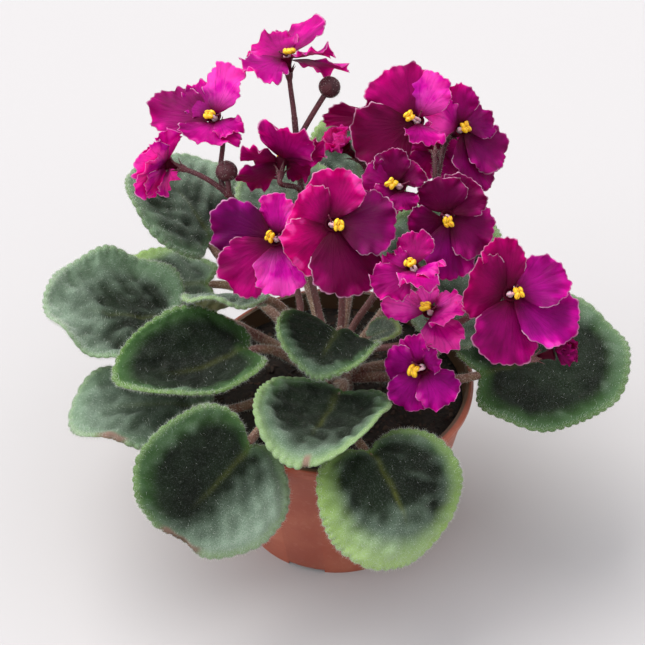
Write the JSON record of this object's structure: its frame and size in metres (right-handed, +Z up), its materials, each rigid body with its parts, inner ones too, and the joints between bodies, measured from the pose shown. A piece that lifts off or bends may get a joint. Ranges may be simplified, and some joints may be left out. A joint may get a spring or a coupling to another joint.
{
  "type": "potted african violet",
  "caption": "Flowering house plant: a rosette of round hairy leaves and branched stalks of ruffled five-petalled blooms in a squat round nursery pot.",
  "frame": {"origin": "middle of the pot's flat underside, on the surface it stands on", "axes": "+Z up along the pot's axis; +Y away from the viewer of the picture; +X to that viewer's right"},
  "size_m": [0.2565, 0.2264, 0.206],
  "materials": {
    "pot": "matte moulded plastic, terracotta brown",
    "soil": "loose dark potting mix",
    "petiole": "fleshy and hairy, brown-mauve",
    "leaf": "velvety and hairy, dark green with a lighter edge",
    "stalk": "fleshy and hairy, dark burgundy",
    "petal": "thin, soft and slightly sparkling, magenta to purple with a pale rim",
    "anther": "smooth, waxy yellow"
  },
  "bodies": {
    "root": {"pot": "pot", "soil": "soil", "crown": "petiole", "leaf_front_left": "leaf", "leaf_front_small": "leaf", "leaf_front_right": "leaf", "leaf_left": "leaf", "leaf_far_left": "leaf", "leaf_low_left": "leaf", "leaf_back_left": "leaf", "leaf_behind_left": "leaf", "leaf_edge_left": "leaf", "leaf_centre_young": "leaf", "leaf_inner_young": "leaf", "leaf_right": "leaf", "leaf_right_inner": "leaf", "leaf_back_right": "leaf", "leaf_back": "leaf", "leaf_back_inner": "leaf", "stalk_left": "stalk", "stalk_top": "stalk", "stalk_middle": "stalk", "stalk_right": "stalk", "stalk_low": "stalk", "bloom_1": "petal", "bloom_2": "petal", "bloom_3": "petal", "bloom_4": "petal", "bloom_5": "petal", "bloom_6": "petal", "bloom_7": "petal", "bloom_8": "petal", "bloom_9": "petal", "bloom_10": "petal", "bloom_11": "petal", "bloom_12": "petal", "bloom_13": "petal", "bloom_14": "petal", "bloom_15": "petal", "anthers_1": "anther", "anthers_2": "anther", "anthers_3": "anther", "anthers_4": "anther", "anthers_5": "anther", "anthers_6": "anther", "anthers_7": "anther", "anthers_8": "anther", "anthers_9": "anther", "anthers_10": "anther", "anthers_11": "anther", "anthers_12": "anther", "anthers_13": "anther", "anthers_14": "anther", "anthers_15": "anther", "opening_1": "petal", "opening_2": "petal"}
  },
  "joints": []
}
